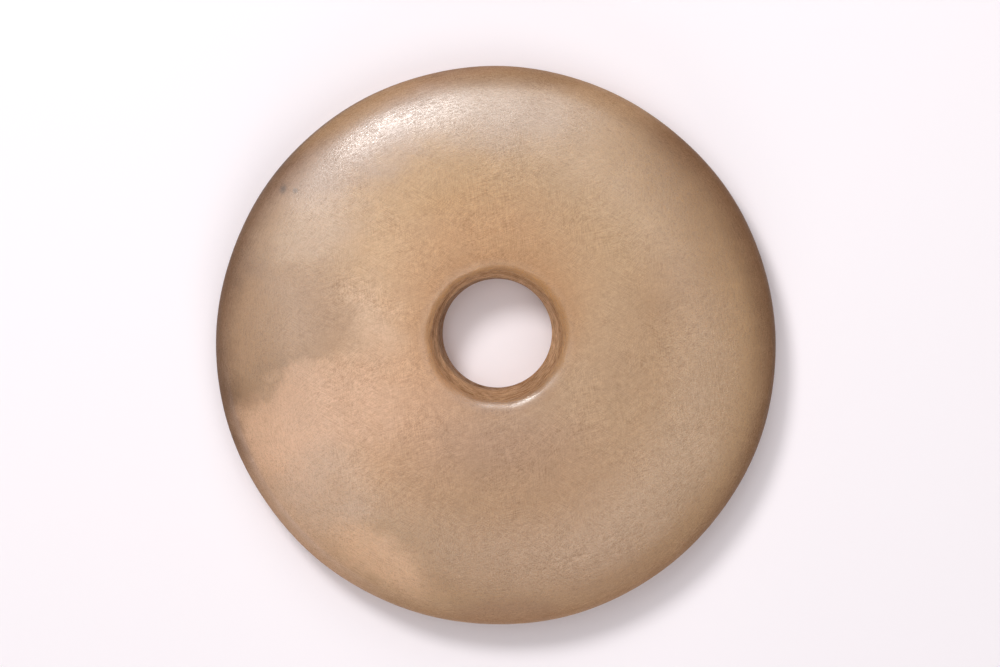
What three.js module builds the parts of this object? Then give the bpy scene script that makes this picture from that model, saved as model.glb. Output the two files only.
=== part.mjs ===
// A bi: a thick round disc carved from one piece of jade, with a hole drilled close to its middle.
// It lies on its back face. Millimetres, +Z up. The origin is the middle of the outline, on the
// surface that the disc lies on, and +Y is the side that the hole is off-centre towards.

import * as THREE from "three";
import { mergeVertices } from "three/addons/utils/BufferGeometryUtils.js";

// The whole disc. It was ground round by eye, so its longest diameter is a little more than its shortest.
const outerDiameter = 180;
const thickness = 25;
const outOfRound = 0.9;
const longestDiameterDegrees = 121;

// The hole, drilled from both faces with a tapering drill, so that it is narrowest at mid-thickness.
const waistDiameter = 35;
const drillTaperDegrees = 17;
const waistRound = 2;
const lipRound = 3;
const holeOffsetX = 0.5;
const holeOffsetY = 4.6;

// Each face is worn to a shallow dish round the hole, then runs level, then rolls down to the edge.
// The back is flatter, and its level band is the ring that the disc rests on.
const showFace = { dishWidth: 20, dishDepth: 1.3, levelWidth: 19 };
const backFace = { dishWidth: 16, dishDepth: 0.8, levelWidth: 30 };

// How finely the round shapes are cut into flat faces.
const facetsAround = 96;
const facetsAlong = { waist: 1, wall: 2, lip: 4, dish: 4, level: 2, roll: 9 };

const jadeColour = 0xb48f6b;
const jadeRoughness = 0.38;

const outerRadius = outerDiameter / 2;
const waistRadius = waistDiameter / 2;
const halfThickness = thickness / 2;
const drillTaper = THREE.MathUtils.degToRad(drillTaperDegrees);
const wallDirection = new THREE.Vector2(Math.sin(drillTaper), Math.cos(drillTaper));

// An arc of a circle or an ellipse, clockwise from one angle to another.
function arc(centre, radiusX, radiusY, from, to) {
  return new THREE.EllipseCurve(centre.x, centre.y, radiusX, radiusY, from, to, true);
}

// Half of the waist, a small rounded ridge that runs smoothly into the tapered wall.
function waistCurve() {
  const centre = new THREE.Vector2(waistRadius + waistRound, 0);
  return arc(centre, waistRound, waistRound, Math.PI, Math.PI - drillTaper);
}

// Where the drilled wall would meet the bottom of a face's dish if the lip weren't rounded.
function mouthCorner(face) {
  const start = waistCurve().getPoint(1);
  const rise = halfThickness - face.dishDepth - start.y;
  return start.addScaledVector(wallDirection, rise / wallDirection.y);
}

// Half of the ring's section: from the waist of the hole, up the wall, over the lip, the dish and the
// level band, and down the roll to the widest line. x is the radius and y the height over mid-thickness.
function halfSection(face) {
  const waist = waistCurve();
  const mouth = mouthCorner(face);
  const dishSlope = Math.atan2(2 * face.dishDepth, face.dishWidth);
  const lipTurn = Math.PI / 2 - drillTaper - dishSlope;
  const lipReach = lipRound * Math.tan(lipTurn / 2);
  const lipStart = mouth.clone().addScaledVector(wallDirection, -lipReach);
  const lipCentre = new THREE.Vector2(
    lipStart.x + lipRound * wallDirection.y,
    lipStart.y - lipRound * wallDirection.x,
  );
  const lip = arc(lipCentre, lipRound, lipRound, Math.PI - drillTaper, Math.PI / 2 + dishSlope);
  const dishSide = new THREE.Vector2(mouth.x + face.dishWidth / 2, halfThickness);
  const levelStart = new THREE.Vector2(mouth.x + face.dishWidth, halfThickness);
  const levelEnd = new THREE.Vector2(levelStart.x + face.levelWidth, halfThickness);
  const rollCentre = new THREE.Vector2(levelEnd.x, 0);
  const roll = arc(rollCentre, outerRadius - levelEnd.x, halfThickness, Math.PI / 2, 0);

  const stretches = [
    [waist, facetsAlong.waist],
    [new THREE.LineCurve(waist.getPoint(1), lipStart), facetsAlong.wall],
    [lip, facetsAlong.lip],
    [new THREE.QuadraticBezierCurve(lip.getPoint(1), dishSide, levelStart), facetsAlong.dish],
    [new THREE.LineCurve(levelStart, levelEnd), facetsAlong.level],
    [roll, facetsAlong.roll],
  ];
  const points = [waist.getPoint(0)];
  for (const [curve, steps] of stretches) {
    points.push(...curve.getPoints(steps).slice(1));
  }
  return points;
}

// The whole section, closed on itself: out along the back face, up the edge and in along the show face.
function ringSection() {
  const back = halfSection(backFace).map((point) => new THREE.Vector2(point.x, -point.y));
  const show = halfSection(showFace).reverse();
  return [...back, ...show.slice(1)];
}

// Carries the hole off-centre and the outline out of round. The hole's shift is whole up to the mouth and
// fades to nothing at the edge. The oval does the opposite, so the hole stays round and the edge centred.
function shapeByHand(geometry) {
  const position = geometry.getAttribute("position");
  const mouthRadius = mouthCorner(showFace).x;
  const longestDiameter = THREE.MathUtils.degToRad(longestDiameterDegrees);
  const swing = outOfRound / 4; // of the radius, either way
  for (let i = 0; i < position.count; i += 1) {
    const x = position.getX(i);
    const y = position.getY(i);
    const out = THREE.MathUtils.clamp(
      (Math.hypot(x, y) - mouthRadius) / (outerRadius - mouthRadius),
      0,
      1,
    );
    const oval = swing * Math.cos(2 * (Math.atan2(y, x) - longestDiameter));
    const stretch = 1 + (out * oval) / outerRadius;
    position.setX(i, x * stretch + holeOffsetX * (1 - out));
    position.setY(i, y * stretch + holeOffsetY * (1 - out));
  }
  return geometry;
}

function jadeBiDisc() {
  const turned = new THREE.LatheGeometry(ringSection(), facetsAround);
  turned.deleteAttribute("normal");
  turned.deleteAttribute("uv");
  turned.rotateX(Math.PI / 2);
  turned.translate(0, 0, halfThickness);
  const geometry = shapeByHand(mergeVertices(turned));
  geometry.computeVertexNormals();
  const jade = new THREE.MeshStandardMaterial({
    color: jadeColour,
    roughness: jadeRoughness,
    metalness: 0,
  });
  const disc = new THREE.Mesh(geometry, jade);
  disc.name = "jade_bi_disc";
  return disc;
}

const bi = new THREE.Group();
bi.add(jadeBiDisc());

export default bi;
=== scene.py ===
import math

import bpy
import numpy as np
from mathutils import Matrix, Vector


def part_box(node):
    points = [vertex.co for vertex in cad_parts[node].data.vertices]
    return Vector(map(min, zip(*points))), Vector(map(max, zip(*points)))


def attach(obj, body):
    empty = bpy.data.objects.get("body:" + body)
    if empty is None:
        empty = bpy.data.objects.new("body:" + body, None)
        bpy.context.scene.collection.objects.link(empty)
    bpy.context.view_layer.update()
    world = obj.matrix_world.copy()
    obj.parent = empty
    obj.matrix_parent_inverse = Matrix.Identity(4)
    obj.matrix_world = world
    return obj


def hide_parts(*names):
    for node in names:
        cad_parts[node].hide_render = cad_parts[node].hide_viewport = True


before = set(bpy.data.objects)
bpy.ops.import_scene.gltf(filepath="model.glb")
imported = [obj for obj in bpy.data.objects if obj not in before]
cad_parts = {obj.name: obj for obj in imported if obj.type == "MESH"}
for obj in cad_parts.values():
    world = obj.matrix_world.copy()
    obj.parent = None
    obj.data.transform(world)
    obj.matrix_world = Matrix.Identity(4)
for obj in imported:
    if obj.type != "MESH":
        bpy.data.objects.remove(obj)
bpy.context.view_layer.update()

# The disc is one thick round piece of brown nephrite jade, ground to shape, drilled from both faces with
# a tapering drill and polished with fine grit. Long burial left its skin cloudy and scratched, and darker
# along the rim and in the hole; part of that darkness, at the rim and at the hole's waist, is painted shade.
# It lies on the level ring of its flatter back face.
MM = 0.001
cad_low, cad_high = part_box("jade_bi_disc")
half_thickness = (cad_high.z - cad_low.z) / 2
outer_radius = (cad_high.x - cad_low.x + cad_high.y - cad_low.y) / 4
out_of_round = 0.9 * MM
longest_diameter = math.radians(121)

waist_radius = 17.5 * MM
waist_round = 2 * MM
drill_taper = math.radians(17)
hole_centre = np.array([0.5, 4.6]) * MM

show_face = {
    "dish_width": 20 * MM,
    "dish_depth": 1.3 * MM,
    "level_width": 19 * MM,
    "lip_round": 4.2 * MM,
}
back_face = {
    "dish_width": 16 * MM,
    "dish_depth": 0.8 * MM,
    "level_width": 30 * MM,
    "lip_round": 3 * MM,
}

rows_around = 640
show_rows = {"waist": 3, "wall": 24, "lip": 12, "dish": 12, "level": 8, "roll": 34}
back_rows = {"waist": 2, "wall": 14, "lip": 8, "dish": 6, "level": 3, "roll": 20}


def half_section(dish_width, dish_depth, level_width, lip_round, rows):
    """Radius, height over mid-thickness and turn of the roll, along one half of the ring's section.

    From the waist out: an arc, the straight wall leaning out by the taper, an arc tangent to wall and
    dish, a parabola up to the level band, the band, and a quarter ellipse down to the edge. The roll's
    turn is the ellipse's angle, a right angle where the band ends and nothing at the edge.
    """
    lean = np.array([math.sin(drill_taper), math.cos(drill_taper)])
    square = np.array([lean[1], -lean[0]])
    waist_middle = np.array([waist_radius + waist_round, 0])
    wall_start = waist_middle - waist_round * square
    mouth = wall_start + lean * (half_thickness - dish_depth - wall_start[1]) / lean[1]
    dish_slope = math.atan2(2 * dish_depth, dish_width)
    lip_reach = lip_round * math.tan((math.pi / 2 - drill_taper - dish_slope) / 2)
    wall_end = mouth - lip_reach * lean
    lip_middle = wall_end + lip_round * square

    def shares(name):
        return np.linspace(0, 1, rows[name] + 1)[1:, None]

    waist_turn = math.pi - drill_taper * np.append(0, shares("waist"))
    waist = waist_middle + waist_round * np.stack([np.cos(waist_turn), np.sin(waist_turn)], 1)
    wall = wall_start + (wall_end - wall_start) * shares("wall")
    lip_turn = (math.pi - drill_taper) * (1 - shares("lip")) + (math.pi / 2 + dish_slope) * shares("lip")
    lip = lip_middle + lip_round * np.hstack([np.cos(lip_turn), np.sin(lip_turn)])
    band_start = np.array([mouth[0] + dish_width, half_thickness])
    dish_side = band_start - [dish_width / 2, 0]
    share = shares("dish")
    dish = (1 - share) ** 2 * lip[-1] + 2 * share * (1 - share) * dish_side + share**2 * band_start
    band_end = band_start + [level_width, 0]
    band = band_start + (band_end - band_start) * shares("level")
    roll_turn = math.pi / 2 * (1 - shares("roll"))
    reach = np.array([outer_radius - band_end[0], half_thickness])
    roll = [band_end[0], 0] + reach * np.hstack([np.cos(roll_turn), np.sin(roll_turn)])

    points = np.vstack([waist, wall, lip, dish, band, roll])
    turn = np.full(len(points), math.pi / 2)
    turn[-rows["roll"]:] = roll_turn[:, 0]
    return points[:, 0], points[:, 1], turn


def smooth_step(low, high, value):
    """Nothing below low, one above high, and a curve of 3 t squared less 2 t cubed between them."""
    t = np.clip((value - low) / (high - low), 0, 1)
    return t * t * (3 - 2 * t)


def uneven(x, y, wavelength, seed, waves=14):
    """Hand-ground unevenness from about -1 to 1: a sum of sine waves with random headings and phases."""
    draw = np.random.default_rng(seed)
    heading = draw.uniform(0, math.pi, waves)
    phase = draw.uniform(0, 2 * math.pi, waves)
    pitch = 2 * math.pi / (wavelength * draw.uniform(0.7, 1.6, waves))
    total = np.zeros_like(x)
    for way, start, rate in zip(heading, phase, pitch):
        total += np.sin(rate * (x * math.cos(way) + y * math.sin(way)) + start)
    return total / math.sqrt(waves * 2)


def ring_surface():
    """The disc's skin as points over (angle round the disc, place along the closed section).

    The section is carried round the axis. Then the hole's shift fades out from the mouth to the edge,
    the outline's oval fades in, and the hand work is added: a ground facet on part of the rim, ring
    marks on the drilled wall, and a slight unevenness of the show face and the rim that only ever takes
    stone away.
    """
    back_radius, back_height, back_turn = half_section(**back_face, rows=back_rows)
    show_radius, show_height, show_turn = half_section(**show_face, rows=show_rows)
    radius = np.append(back_radius, show_radius[-2:0:-1])
    height = np.append(-back_height, show_height[-2:0:-1])
    turn = np.append(-back_turn, show_turn[-2:0:-1])
    angle = np.linspace(0, 2 * math.pi, rows_around, endpoint=False)[:, None]
    radius, height, turn = (np.broadcast_to(v, (rows_around, len(v))) for v in (radius, height, turn))

    # The facet is a chord of the roll's ellipse between two of its turns, low on the left of the show side.
    facet_from, facet_to = math.radians(31), math.radians(4)
    facet_middle = math.radians(212)
    facet_whole, facet_gone = math.radians(12), math.radians(44)
    roll_width = radius.max() - radius[(turn == math.pi / 2)].max()
    along = np.clip((facet_from - turn) / (facet_from - facet_to), 0, 1)
    held = np.clip(turn, facet_to, facet_from)
    chord_cos = math.cos(facet_from) + (math.cos(facet_to) - math.cos(facet_from)) * along
    chord_sin = math.sin(facet_from) + (math.sin(facet_to) - math.sin(facet_from)) * along
    from_middle = np.abs((angle - facet_middle + math.pi) % (2 * math.pi) - math.pi)
    ground = 1 - smooth_step(facet_whole, facet_gone, from_middle)
    radius = radius + ground * roll_width * (chord_cos - np.cos(held))
    height = height + ground * half_thickness * (chord_sin - np.sin(held))

    # The drill left rings on the upper wall, about 1.3 mm and 2.1 mm apart, and the lip isn't quite round.
    ring_depth = 0.03 * MM
    lip_depth = 0.09 * MM
    wall_end = (20.3 * MM, 21.4 * MM)
    lip_start, lip_end = (19 * MM, 21 * MM), (22.5 * MM, 26 * MM)
    on_wall = 1 - smooth_step(*wall_end, radius)
    ring_marks = np.sin(height / (0.21 * MM) + 1.5 * np.sin(3 * angle)) + np.sin(height / (0.34 * MM) + 2)
    radius = radius + on_wall * ring_depth * ring_marks * (height > 0)
    lip_wander = np.sin(5 * angle + 1) + np.sin(9 * angle) + np.sin(14 * angle + 2)
    on_lip = smooth_step(*lip_start, radius) * (1 - smooth_step(*lip_end, radius))
    radius = radius + on_lip * lip_depth * lip_wander * (height > 0)

    mouth_radius = 20.8 * MM
    out = np.clip((radius - mouth_radius) / (outer_radius - mouth_radius), 0, 1)
    oval = out_of_round / 4 * np.cos(2 * (angle - longest_diameter))
    x = (radius + out * oval) * np.cos(angle) + hole_centre[0] * (1 - out)
    y = (radius + out * oval) * np.sin(angle) + hole_centre[1] * (1 - out)

    # Wear is measured down from the highest bump, which is 1 + 1 + 0.6 on the rim.
    face_wear = 0.16 * MM
    rim_wear = 0.08 * MM
    bumps = uneven(x, y, 48 * MM, seed=5) + 0.35 * uneven(x, y, 17 * MM, seed=8)
    on_show = smooth_step(0.35, 1, height / half_thickness)
    z = half_thickness + height + on_show * face_wear * (bumps - bumps.max())
    rim_bumps = np.sin(4 * angle + 1) + np.sin(7 * angle + 4) + 0.6 * np.sin(13 * angle)
    narrowed = 1 + smooth_step(0.8, 1, out) * rim_wear * (rim_bumps - 2.6) / outer_radius
    return np.stack([x * narrowed, y * narrowed, z], 2)


def closed_grid(name, points):
    """A mesh of four-sided faces over a grid of points that closes on itself both ways, facing outwards."""
    rows, columns = points.shape[:2]
    number = np.arange(rows * columns).reshape(rows, columns)
    ahead = np.roll(number, -1, 0)
    corners = np.stack([number, ahead, np.roll(ahead, -1, 1), np.roll(number, -1, 1)], 2).reshape(-1, 4)
    mesh = bpy.data.meshes.new(name)
    mesh.from_pydata(points.reshape(-1, 3), [], corners)
    mesh.shade_smooth()
    piece = bpy.data.objects.new(name, mesh)
    bpy.context.scene.collection.objects.link(piece)
    return piece


def linear(colour):
    """An sRGB hex colour as linear red, green, blue and alpha."""
    channels = np.array([int(colour[i:i + 2], 16) for i in (1, 3, 5)]) / 255
    light = np.where(channels <= 0.04045, channels / 12.92, ((channels + 0.055) / 1.055) ** 2.4)
    return (*light.tolist(), 1)


def node(tree, kind, inputs=None, **settings):
    """Adds a node with its settings, and gives each input named or numbered its value or its link."""
    made = tree.nodes.new(kind)
    for name, value in settings.items():
        setattr(made, name, value)
    for key, value in (inputs or {}).items():
        if isinstance(value, bpy.types.NodeSocket):
            tree.links.new(value, made.inputs[key])
        else:
            made.inputs[key].default_value = value
    return made


def clouded_colour(tree, place):
    """The stone's colour: soft clouds through its depth, and the rind along the rim and round the hole.
    Painted shade darkens the rim, most at the left and right, the top rim, the foot, the hole's waist and
    below the hole; painted light brightens the lower left rim; painted sheen greys the roll under the
    highlight.

    Each zone is a soft ellipse over the disc. It shows nothing at its outer reach and its full strength at
    its inner reach, both in half sizes from its middle, and noise carries its edge off the true line. Four
    zones at the rim have the smaller reach first, so they colour what lies outside their ellipse.
    """
    # Noise of three sizes, each with how far it carries an edge. It runs from 0 to 1, so the sum starts low.
    reaches = {24 * MM: 6.5 * MM, 6 * MM: 4.2 * MM, 1.6 * MM: 1.2 * MM}
    wander = (-sum(reaches.values()),) * 3
    for size, reach in reaches.items():
        noise = node(tree, "ShaderNodeTexNoise", {"Vector": place, "Scale": 1 / size, "Detail": 2})
        wander = node(
            tree,
            "ShaderNodeVectorMath",
            {0: noise.outputs["Color"], 1: (2 * reach,) * 3, 2: wander},
            operation="MULTIPLY_ADD",
        ).outputs[0]

    hole_x, hole_y = hole_centre / MM
    # Middle and half sizes in mm, turn in degrees, outer and inner reach, colour, strength, raggedness.
    zones = {
        "tan at right": ((64, 2), (34, 64), 0, 1.4, 0.2, "#A9845F", 0.75, 1),
        "cream above": ((14, 40), (54, 36), 0, 1.3, 0.3, "#B4906A", 0.9, 1),
        "tan above left": ((-24, 50), (34, 22), 20, 1.4, 0.1, "#B99164", 0.9, 1),
        "cream left": ((-34, 28), (34, 28), 0, 1.4, 0.1, "#C9A480", 0.8, 1),
        "peach beside hole": ((-28, -16), (26, 34), 0, 1.4, 0.1, "#CDA07C", 0.9, 1),
        "cream beside cloud": ((-42, 9), (12, 15), 15, 1.4, 0.1, "#D2B094", 0.55, 1),
        "brown right of middle": ((58, 20), (14, 18), 0, 1.4, 0.1, "#9F7852", 0.5, 1),
        "brown at lower right": ((58, -55), (24, 14), 45, 1.4, 0.2, "#9C7650", 0.4, 1),
        "brown below": ((6, -46), (46, 24), 0, 1.4, 0.2, "#A67F5C", 0.75, 1),
        "brown along foot": ((20, -74), (64, 18), 0, 1.4, 0.2, "#A17A59", 0.55, 1),
        # Partly the stone's grey, partly painted sheen: these three greyer, pinker patches lie under the
        # highlight on the roll and stand for its pale reflection.
        "grey and painted sheen along top left": ((-46, 68), (56, 17), 32, 1.2, 0.4, "#A88B78", 0.8, 0.8),
        "grey and painted sheen above": ((2, 74), (30, 12), 0, 1.4, 0.2, "#AF9684", 0.6, 0.8),
        "pale grey and painted sheen upper left": ((-57, 38), (20, 11), 45, 1.4, 0.2, "#C2A894", 0.4, 1),
        # Partly the rind, partly painted shade: the left rim darker.
        "painted shade at left rim": ((-91, -1), (22, 44), 0, 1.3, 0.4, "#715238", 0.85, 0.8),
        "brown at upper left": ((-78, 25), (22, 8), 74, 1.4, 0.2, "#A18574", 0.4, 0.6),
        "brown at upper right": ((69, 54), (40, 19), -52, 1.4, 0.2, "#906E50", 0.68, 0.8),
        "pale peach": ((-60, -26), (32, 21), 25, 1.3, 0.6, "#CCA384", 0.95, 0.9),
        "peach at left": ((-68, -31), (10, 14), 20, 1.4, 0.2, "#DDB496", 0.5, 0.8),
        "brown cloud": ((-74, 8), (29, 17), 25, 1.3, 0.65, "#AC896B", 0.9, 1),
        "cloud, dark end": ((-76, -7), (10, 6), 25, 1.4, 0.2, "#A28164", 0.6, 1),
        "cloud, right end": ((-54, 6), (11, 9), 0, 1.4, 0.2, "#AC896B", 0.7, 1),
        "cloud, light gap": ((-71, -6.5), (2.6, 2), 0, 1.4, 0.1, "#C9A383", 0.45, 0.7),
        "cloud, dark spot": ((-66.4, -3.8), (4, 2.2), 60, 1.4, 0.1, "#A48366", 0.5, 0.7),
        "cloud, low spot": ((-72.5, -12.4), (3.8, 2.2), 10, 1.4, 0.1, "#A48366", 0.5, 0.7),
        "peach bulge into cloud": ((-63, -8), (8, 4.5), 35, 1.3, 0.4, "#CBA283", 0.7, 0.7),
        "cream low left": ((-56, -48), (20, 16), 30, 1.3, 0.5, "#C4A48B", 0.8, 0.9),
        "cream low": ((-38, -67), (22, 9), -35, 1.3, 0.4, "#D1A886", 0.85, 0.7),
        "tan below left of hole": ((-21, -13), (11, 9), 45, 1.4, 0.2, "#B88B68", 0.4, 0.8),
        "tan at low left": ((-44, -38), (14, 10), 20, 1.4, 0.2, "#B58C66", 0.4, 1),
        # Painted shade: darker where the dish slopes below the hole.
        "painted shade under hole": ((0, -27), (30, 15), 0, 1.4, 0.1, "#A27D64", 0.5, 0.6),
        "grey spot": ((-67.4, 51.2), (1.2, 1.7), -20, 1.4, 0.2, "#6A615D", 0.7, 0.05),
        "small grey spot": ((-63.4, 50.7), (1.1, 0.9), 0, 1.4, 0.2, "#6A615D", 0.55, 0.05),
        "orange round hole": ((hole_x - 2, hole_y + 15), (40, 42), 0, 1, 0.4, "#B78557", 0.6, 0.4),
        "stain round hole": ((hole_x, hole_y + 2), (26.5, 26.5), 0, 1.1, 0.82, "#A9794F", 0.35, 0.35),
        "line at mouth": ((hole_x - 0.3, hole_y - 0.6), (23.5, 22.5), 0, 0.93, 0.87, "#80522F", 0.4, 0.22),
        "rind in hole": ((hole_x, hole_y - 0.4), (23.6, 23.4), 0, 0.88, 0.82, "#D0A47C", 0.85, 0.2),
        "foot of hole": ((hole_x + 2, hole_y - 18), (18, 6), 6, 1.3, 0.3, "#8A6342", 0.5, 0.2),
        "low right of hole": ((hole_x + 12.3, hole_y - 12.3), (9, 4), 45, 1.2, 0.3, "#8A6342", 0.5, 0.2),
        # Painted shade: a dark ring at the hole's narrowest part, deep in the hole.
        "painted shade at waist": ((hole_x - 0.9, hole_y + 0.1), (18, 18), 0, 1.03, 0.985, "#765844", 0.7, 0.05),
        # Painted shadow: darker at the bottom of the rim, as if in contact shadow.
        "painted shadow at foot": ((5, -87), (22, 7), 0, 1.3, 0.4, "#8A6248", 0.4, 0.4),
        # Partly the rind, partly painted shade: the rim darker all round, and most at the right and the
        # left.
        "rind and painted shade at rim": ((0, 0), (90, 90), 0, 0.93, 1.01, "#A57A55", 0.5, 0.2),
        "rind and painted shade at right": ((-9, -4), (90, 90), 0, 0.98, 1.1, "#6F4A29", 0.85, 0.25),
        "rind and painted shade at left": ((11, -3), (90, 90), 0, 1.02, 1.12, "#61422A", 0.82, 0.2),
        "tan at top left rim": ((-44, 76.5), (28, 5), 30, 1.4, 0.3, "#B08A60", 0.45, 0.3),
        "tan at top right rim": ((37, 81), (24, 6), -24, 1.4, 0.3, "#BA9570", 0.5, 0.3),
        # Painted light: the lower left rim lighter and pinker, as if lit by a bright floor below.
        "painted light at low left rim": ((-59, -64), (40, 7), -47, 1.3, 0.3, "#C49C7C", 0.65, 0.3),
        # Painted shade: the top rim darker, so the highlight stops short of the edge.
        "painted shade at top rim": ((6, 85.4), (30, 2.8), 0, 1.4, 0.3, "#8A6847", 0.5, 0.3),
        # Painted shade: a thin dark line along the left edge.
        "painted shade line at left edge": ((3.5, -3), (90, 90), 0, 1.04, 1.051, "#5F5145", 0.6, 0.03),
    }
    colour = linear("#B08D6B")
    for name, (middle, half_sizes, turn, outer, inner, hue, strength, ragged) in zones.items():
        moved = node(
            tree, "ShaderNodeVectorMath", {0: wander, 1: (ragged,) * 3, 2: place}, operation="MULTIPLY_ADD"
        )
        centred = node(
            tree,
            "ShaderNodeMapping",
            {
                "Vector": moved.outputs[0],
                "Location": (middle[0] * MM, middle[1] * MM, half_thickness),
                "Rotation": (0, 0, math.radians(turn)),
                "Scale": (half_sizes[0] * MM, half_sizes[1] * MM, 1),
            },
            vector_type="TEXTURE",
        )
        far = node(tree, "ShaderNodeVectorMath", {0: centred.outputs[0]}, operation="LENGTH")
        share = node(
            tree,
            "ShaderNodeMapRange",
            {"Value": far.outputs["Value"], "From Min": outer, "From Max": inner, "To Max": strength},
            interpolation_type="SMOOTHSTEP",
        )
        colour = node(
            tree,
            "ShaderNodeMix",
            {0: share.outputs[0], 6: colour, 7: linear(hue)},
            data_type="RGBA",
            label=name,
        ).outputs[2]
    return colour


def stroke_set(tree, ways, heading, long, wide, mask, strokes):
    """Adds one set of strokes to the sum so far: noise drawn out along the heading, scaled by the mask."""
    drawn_out = node(
        tree,
        "ShaderNodeMapping",
        {"Vector": ways, "Rotation": (0, 0, math.radians(heading)), "Scale": (long, wide, wide)},
        vector_type="TEXTURE",
    )
    noise = node(tree, "ShaderNodeTexNoise", {"Vector": drawn_out.outputs[0], "Scale": 1, "Detail": 1})
    line = node(tree, "ShaderNodeMath", {0: noise.outputs[0], 1: 0.5}, operation="SUBTRACT")
    return node(
        tree, "ShaderNodeMath", {0: line.outputs[0], 1: mask, 2: strokes}, operation="MULTIPLY_ADD"
    ).outputs[0]


def polishing_strokes(tree, place):
    """A field of short strokes around nothing, up for ridges and down for scratches.

    Four sets run straight, each its own way and in its own patches, and a fifth has longer and fainter
    strokes. One set follows the rim, and the last, left by the drill, follows the hole. Real strokes are
    finer than 0.1 mm. These are drawn about 0.2 mm wide and 3 mm long, to show from a step away.
    """
    strokes = 0
    # Heading in degrees, length, width and patch size in mm, and strength.
    for heading, long, wide, patch, strength in (
        (14, 3.3, 0.23, 17, 1),
        (52, 2.7, 0.22, 13, 1),
        (98, 3, 0.23, 15, 1),
        (150, 2.7, 0.22, 12, 1),
        (36, 12, 0.6, 30, 0.3),
    ):
        patches = node(
            tree, "ShaderNodeTexNoise", {"Vector": place, "Scale": 1 / (patch * MM), "Detail": 1}
        )
        mask = node(
            tree,
            "ShaderNodeMapRange",
            {
                "Value": patches.outputs[0],
                "From Min": 0.4,
                "From Max": 0.6,
                "To Min": 0.45 * strength,
                "To Max": strength,
            },
        )
        strokes = stroke_set(tree, place, heading, long * MM, wide * MM, mask.outputs[0], strokes)
    # Middle, radius where lengths are true, width, where the set starts and where it is whole, and strength.
    for middle, run, wide, start, end, strength in (
        ((0, 0), 80 * MM, 0.22 * MM, 50 * MM, 80 * MM, 0.7),
        (hole_centre, 20 * MM, 0.3 * MM, 23.5 * MM, 20.5 * MM, 3),
    ):
        moved = node(
            tree, "ShaderNodeVectorMath", {0: place, 1: (*middle, half_thickness)}, operation="SUBTRACT"
        )
        apart = node(tree, "ShaderNodeSeparateXYZ", {0: moved.outputs[0]})
        turn = node(tree, "ShaderNodeMath", {0: apart.outputs[1], 1: apart.outputs[0]}, operation="ARCTAN2")
        along = node(tree, "ShaderNodeMath", {0: turn.outputs[0], 1: run}, operation="MULTIPLY")
        level = node(tree, "ShaderNodeCombineXYZ", {0: apart.outputs[0], 1: apart.outputs[1]})
        radius = node(tree, "ShaderNodeVectorMath", {0: level.outputs[0]}, operation="LENGTH").outputs[1]
        ways = node(tree, "ShaderNodeCombineXYZ", {0: along.outputs[0], 1: radius, 2: apart.outputs[2]})
        mask = node(
            tree,
            "ShaderNodeMapRange",
            {"Value": radius, "From Min": start, "From Max": end, "To Max": strength},
        )
        strokes = stroke_set(tree, ways.outputs[0], 0, 2.6 * MM, wide, mask.outputs[0], strokes)
    return strokes


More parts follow.
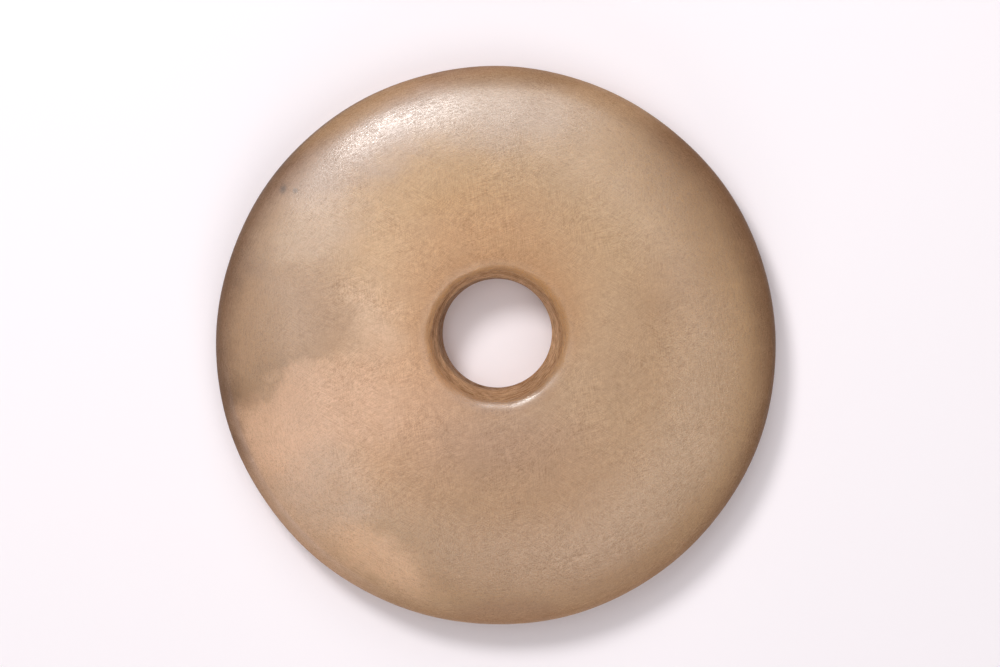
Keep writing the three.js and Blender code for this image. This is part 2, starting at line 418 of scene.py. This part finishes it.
def buried_nephrite():
    """Nephrite, ground and hand polished, then weathered in the ground.

    A satin skin with a cloudy, slightly see-through depth, and short polishing strokes that catch the light
    and hold a little dirt.
    """
    material = bpy.data.materials.new("buried_nephrite_hand_polished")
    material.use_nodes = True
    tree = material.node_tree
    tree.nodes.clear()
    place = node(tree, "ShaderNodeTexCoord").outputs["Object"]
    colour = clouded_colour(tree, place)
    strokes = polishing_strokes(tree, place)

    # Faint mottling at 9 mm, 2.2 mm and 0.7 mm.
    for size, depth in ((9 * MM, 0.025), (2.2 * MM, 0.015), (0.7 * MM, 0.012)):
        noise = node(tree, "ShaderNodeTexNoise", {"Vector": place, "Scale": 1 / size, "Detail": 2})
        level = node(
            tree,
            "ShaderNodeMapRange",
            {
                "Value": noise.outputs[0],
                "From Min": 0.3,
                "From Max": 0.7,
                "To Min": 1 - depth,
                "To Max": 1 + depth,
            },
        )
        colour = node(
            tree, "ShaderNodeVectorMath", {0: colour, "Scale": level.outputs[0]}, operation="SCALE"
        ).outputs[0]

    # Scratches hold brown dirt, so blue follows the strokes more than red does. The finest mottling stands
    # as pits and bumps together with the strokes.
    dirt = node(
        tree,
        "ShaderNodeVectorMath",
        {0: strokes, 1: (0.56, 0.66, 0.77), 2: (1, 1, 1)},
        operation="MULTIPLY_ADD",
    )
    colour = node(tree, "ShaderNodeVectorMath", {0: colour, 1: dirt.outputs[0]}, operation="MULTIPLY")
    height = node(
        tree, "ShaderNodeMath", {0: noise.outputs[0], 1: 0.2, 2: strokes}, operation="MULTIPLY_ADD"
    )
    relief = node(
        tree, "ShaderNodeBump", {"Height": height.outputs[0], "Strength": 1, "Distance": 0.03 * MM}
    )

    # The faces are weathered duller than the roll and the lip of the hole, which are worn by handling. The
    # drilled wall and the rind along the rim are dull and earthy. Ridges have more polish than scratches.
    hole_middle = (*hole_centre, half_thickness)
    disc_middle = (0, 0, half_thickness)
    rough = 0.44
    gloss = 0.6
    for middle, start, end, rougher, glossier in (
        (disc_middle, 52 * MM, 66 * MM, -0.07, 0.4),
        (disc_middle, 83 * MM, 88 * MM, 0.3, -0.7),
        (hole_middle, 28 * MM, 24.8 * MM, -0.13, 0.4),
        (hole_middle, 23.4 * MM, 22 * MM, 0.45, -0.8),
    ):
        away = node(tree, "ShaderNodeVectorMath", {0: place, 1: middle}, operation="DISTANCE")
        mask = node(
            tree, "ShaderNodeMapRange", {"Value": away.outputs[1], "From Min": start, "From Max": end}
        )
        rough = node(
            tree, "ShaderNodeMath", {0: mask.outputs[0], 1: rougher, 2: rough}, operation="MULTIPLY_ADD"
        ).outputs[0]
        gloss = node(
            tree, "ShaderNodeMath", {0: mask.outputs[0], 1: glossier, 2: gloss}, operation="MULTIPLY_ADD"
        ).outputs[0]
    rough = node(tree, "ShaderNodeMath", {0: strokes, 1: -0.4, 2: rough}, operation="MULTIPLY_ADD")
    # The shader calls the mirror image of a clean surface 0.5.
    mirror = node(tree, "ShaderNodeMath", {0: gloss, 1: 0.5}, operation="MULTIPLY")

    jade = node(
        tree,
        "ShaderNodeBsdfPrincipled",
        {
            "Base Color": colour.outputs[0],
            "Roughness": rough.outputs[0],
            "Normal": relief.outputs[0],
            "IOR": 1.61,
            "Specular IOR Level": mirror.outputs[0],
            "Subsurface Weight": 0.12,
            "Subsurface Radius": (1, 0.6, 0.35),
            "Subsurface Scale": 3 * MM,
            "Coat Weight": gloss,
            "Coat Roughness": rough.outputs[0],
            "Coat Normal": relief.outputs[0],
        },
    )
    node(tree, "ShaderNodeOutputMaterial", {0: jade.outputs[0]})
    return material


disc = closed_grid("carved_jade_disc", ring_surface())
disc.data.materials.append(buried_nephrite())
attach(disc, "root")
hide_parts("jade_bi_disc")

# The floor is a wide flat sheet of matt card, white with a trace of pink. It is no part of the disc and lies
# a tenth of a millimetre under it, so that the two don't share a surface.
floor_width = 8
floor_gap = 0.1 * MM
floor_mesh = bpy.data.meshes.new("card_floor")
floor_corners = np.array([(-1, -1, 0), (1, -1, 0), (1, 1, 0), (-1, 1, 0)]) * floor_width / 2
floor_mesh.from_pydata(floor_corners - [0, 0, floor_gap], [], [(0, 1, 2, 3)])
floor = bpy.data.objects.new("card_floor", floor_mesh)
bpy.context.scene.collection.objects.link(floor)
card = bpy.data.materials.new("matt_white_card")
card.use_nodes = True
card.node_tree.nodes["Principled BSDF"].inputs["Base Color"].default_value = linear("#F8F1F5")
card.node_tree.nodes["Principled BSDF"].inputs["Roughness"].default_value = 0.8
floor_mesh.materials.append(card)

# Soft studio light in a pale room: a large soft box up and to the left, a smaller lamp beyond it for the
# bright cores on the rim and the lip of the hole, a wide fill down and to the right that reaches into the
# hole, and fills above and below the picture. The one below lights the stone but gives no mirror image.
world = bpy.data.worlds.new("pale_room")
bpy.context.scene.world = world
world.use_nodes = True
world.node_tree.nodes["Background"].inputs["Color"].default_value = linear("#F6F1F4")
world.node_tree.nodes["Background"].inputs["Strength"].default_value = 0.12


def look(eye, target, up):
    """A placing at eye whose -Z axis points at target and whose Y axis leans to up."""
    back = (Vector(eye) - Vector(target)).normalized()
    right = Vector(up).cross(back).normalized()
    turn = Matrix((right, back.cross(right), back)).transposed()
    return Matrix.LocRotScale(Vector(eye), turn, None)


def lamp(name, bearing, tilt, away, size, watts):
    """Makes an area light aimed at the disc's middle, at degrees round from +X and down from the zenith."""
    light = bpy.data.lights.new(name, "AREA")
    light.shape = "DISK"
    light.size = size
    light.energy = watts
    made = bpy.data.objects.new(name, light)
    bpy.context.scene.collection.objects.link(made)
    bearing, tilt = math.radians(bearing), math.radians(tilt)
    eye = away * Vector(
        (math.sin(tilt) * math.cos(bearing), math.sin(tilt) * math.sin(bearing), math.cos(tilt))
    )
    made.matrix_world = look(eye, (0, 0, half_thickness), (0, 1, 0))
    return made


lamp("soft_box", 119, 19, 1.5, 1.2, 6.4)
lamp("key", 119, 38.8, 1.4, 0.36, 9.2)
lamp("right_fill", 300, 26, 1.5, 1.2, 5)
low_fill = lamp("low_fill", 270, 72, 1.4, 1, 5.2)
low_fill.visible_glossy = False
lamp("high_fill", 84, 45, 1.4, 0.8, 3.6)

# The camera looks down on the disc from twelve radii away, off the zenith by 5.6 degrees towards +Y and 0.9
# towards +X, with +Y up. It aims beside the middle, so that the disc lies in the picture as in the photo.
camera_distance = 12 * outer_radius
camera_lean = math.radians(5.6)
camera_side = math.radians(0.9)
aim = Vector((1.38 * MM, 4.51 * MM, half_thickness))
eye = aim + camera_distance * Vector(
    (math.sin(camera_side), math.sin(camera_lean), math.cos(camera_lean) * math.cos(camera_side))
)
camera_data = bpy.data.cameras.new("camera")
camera_data.sensor_width = 36
camera_data.lens = 121.3
camera = bpy.data.objects.new("camera", camera_data)
bpy.context.scene.collection.objects.link(camera)
camera.matrix_world = look(eye, aim, (0, 1, 0))
bpy.context.scene.camera = camera
bpy.context.scene.view_settings.view_transform = "Standard"
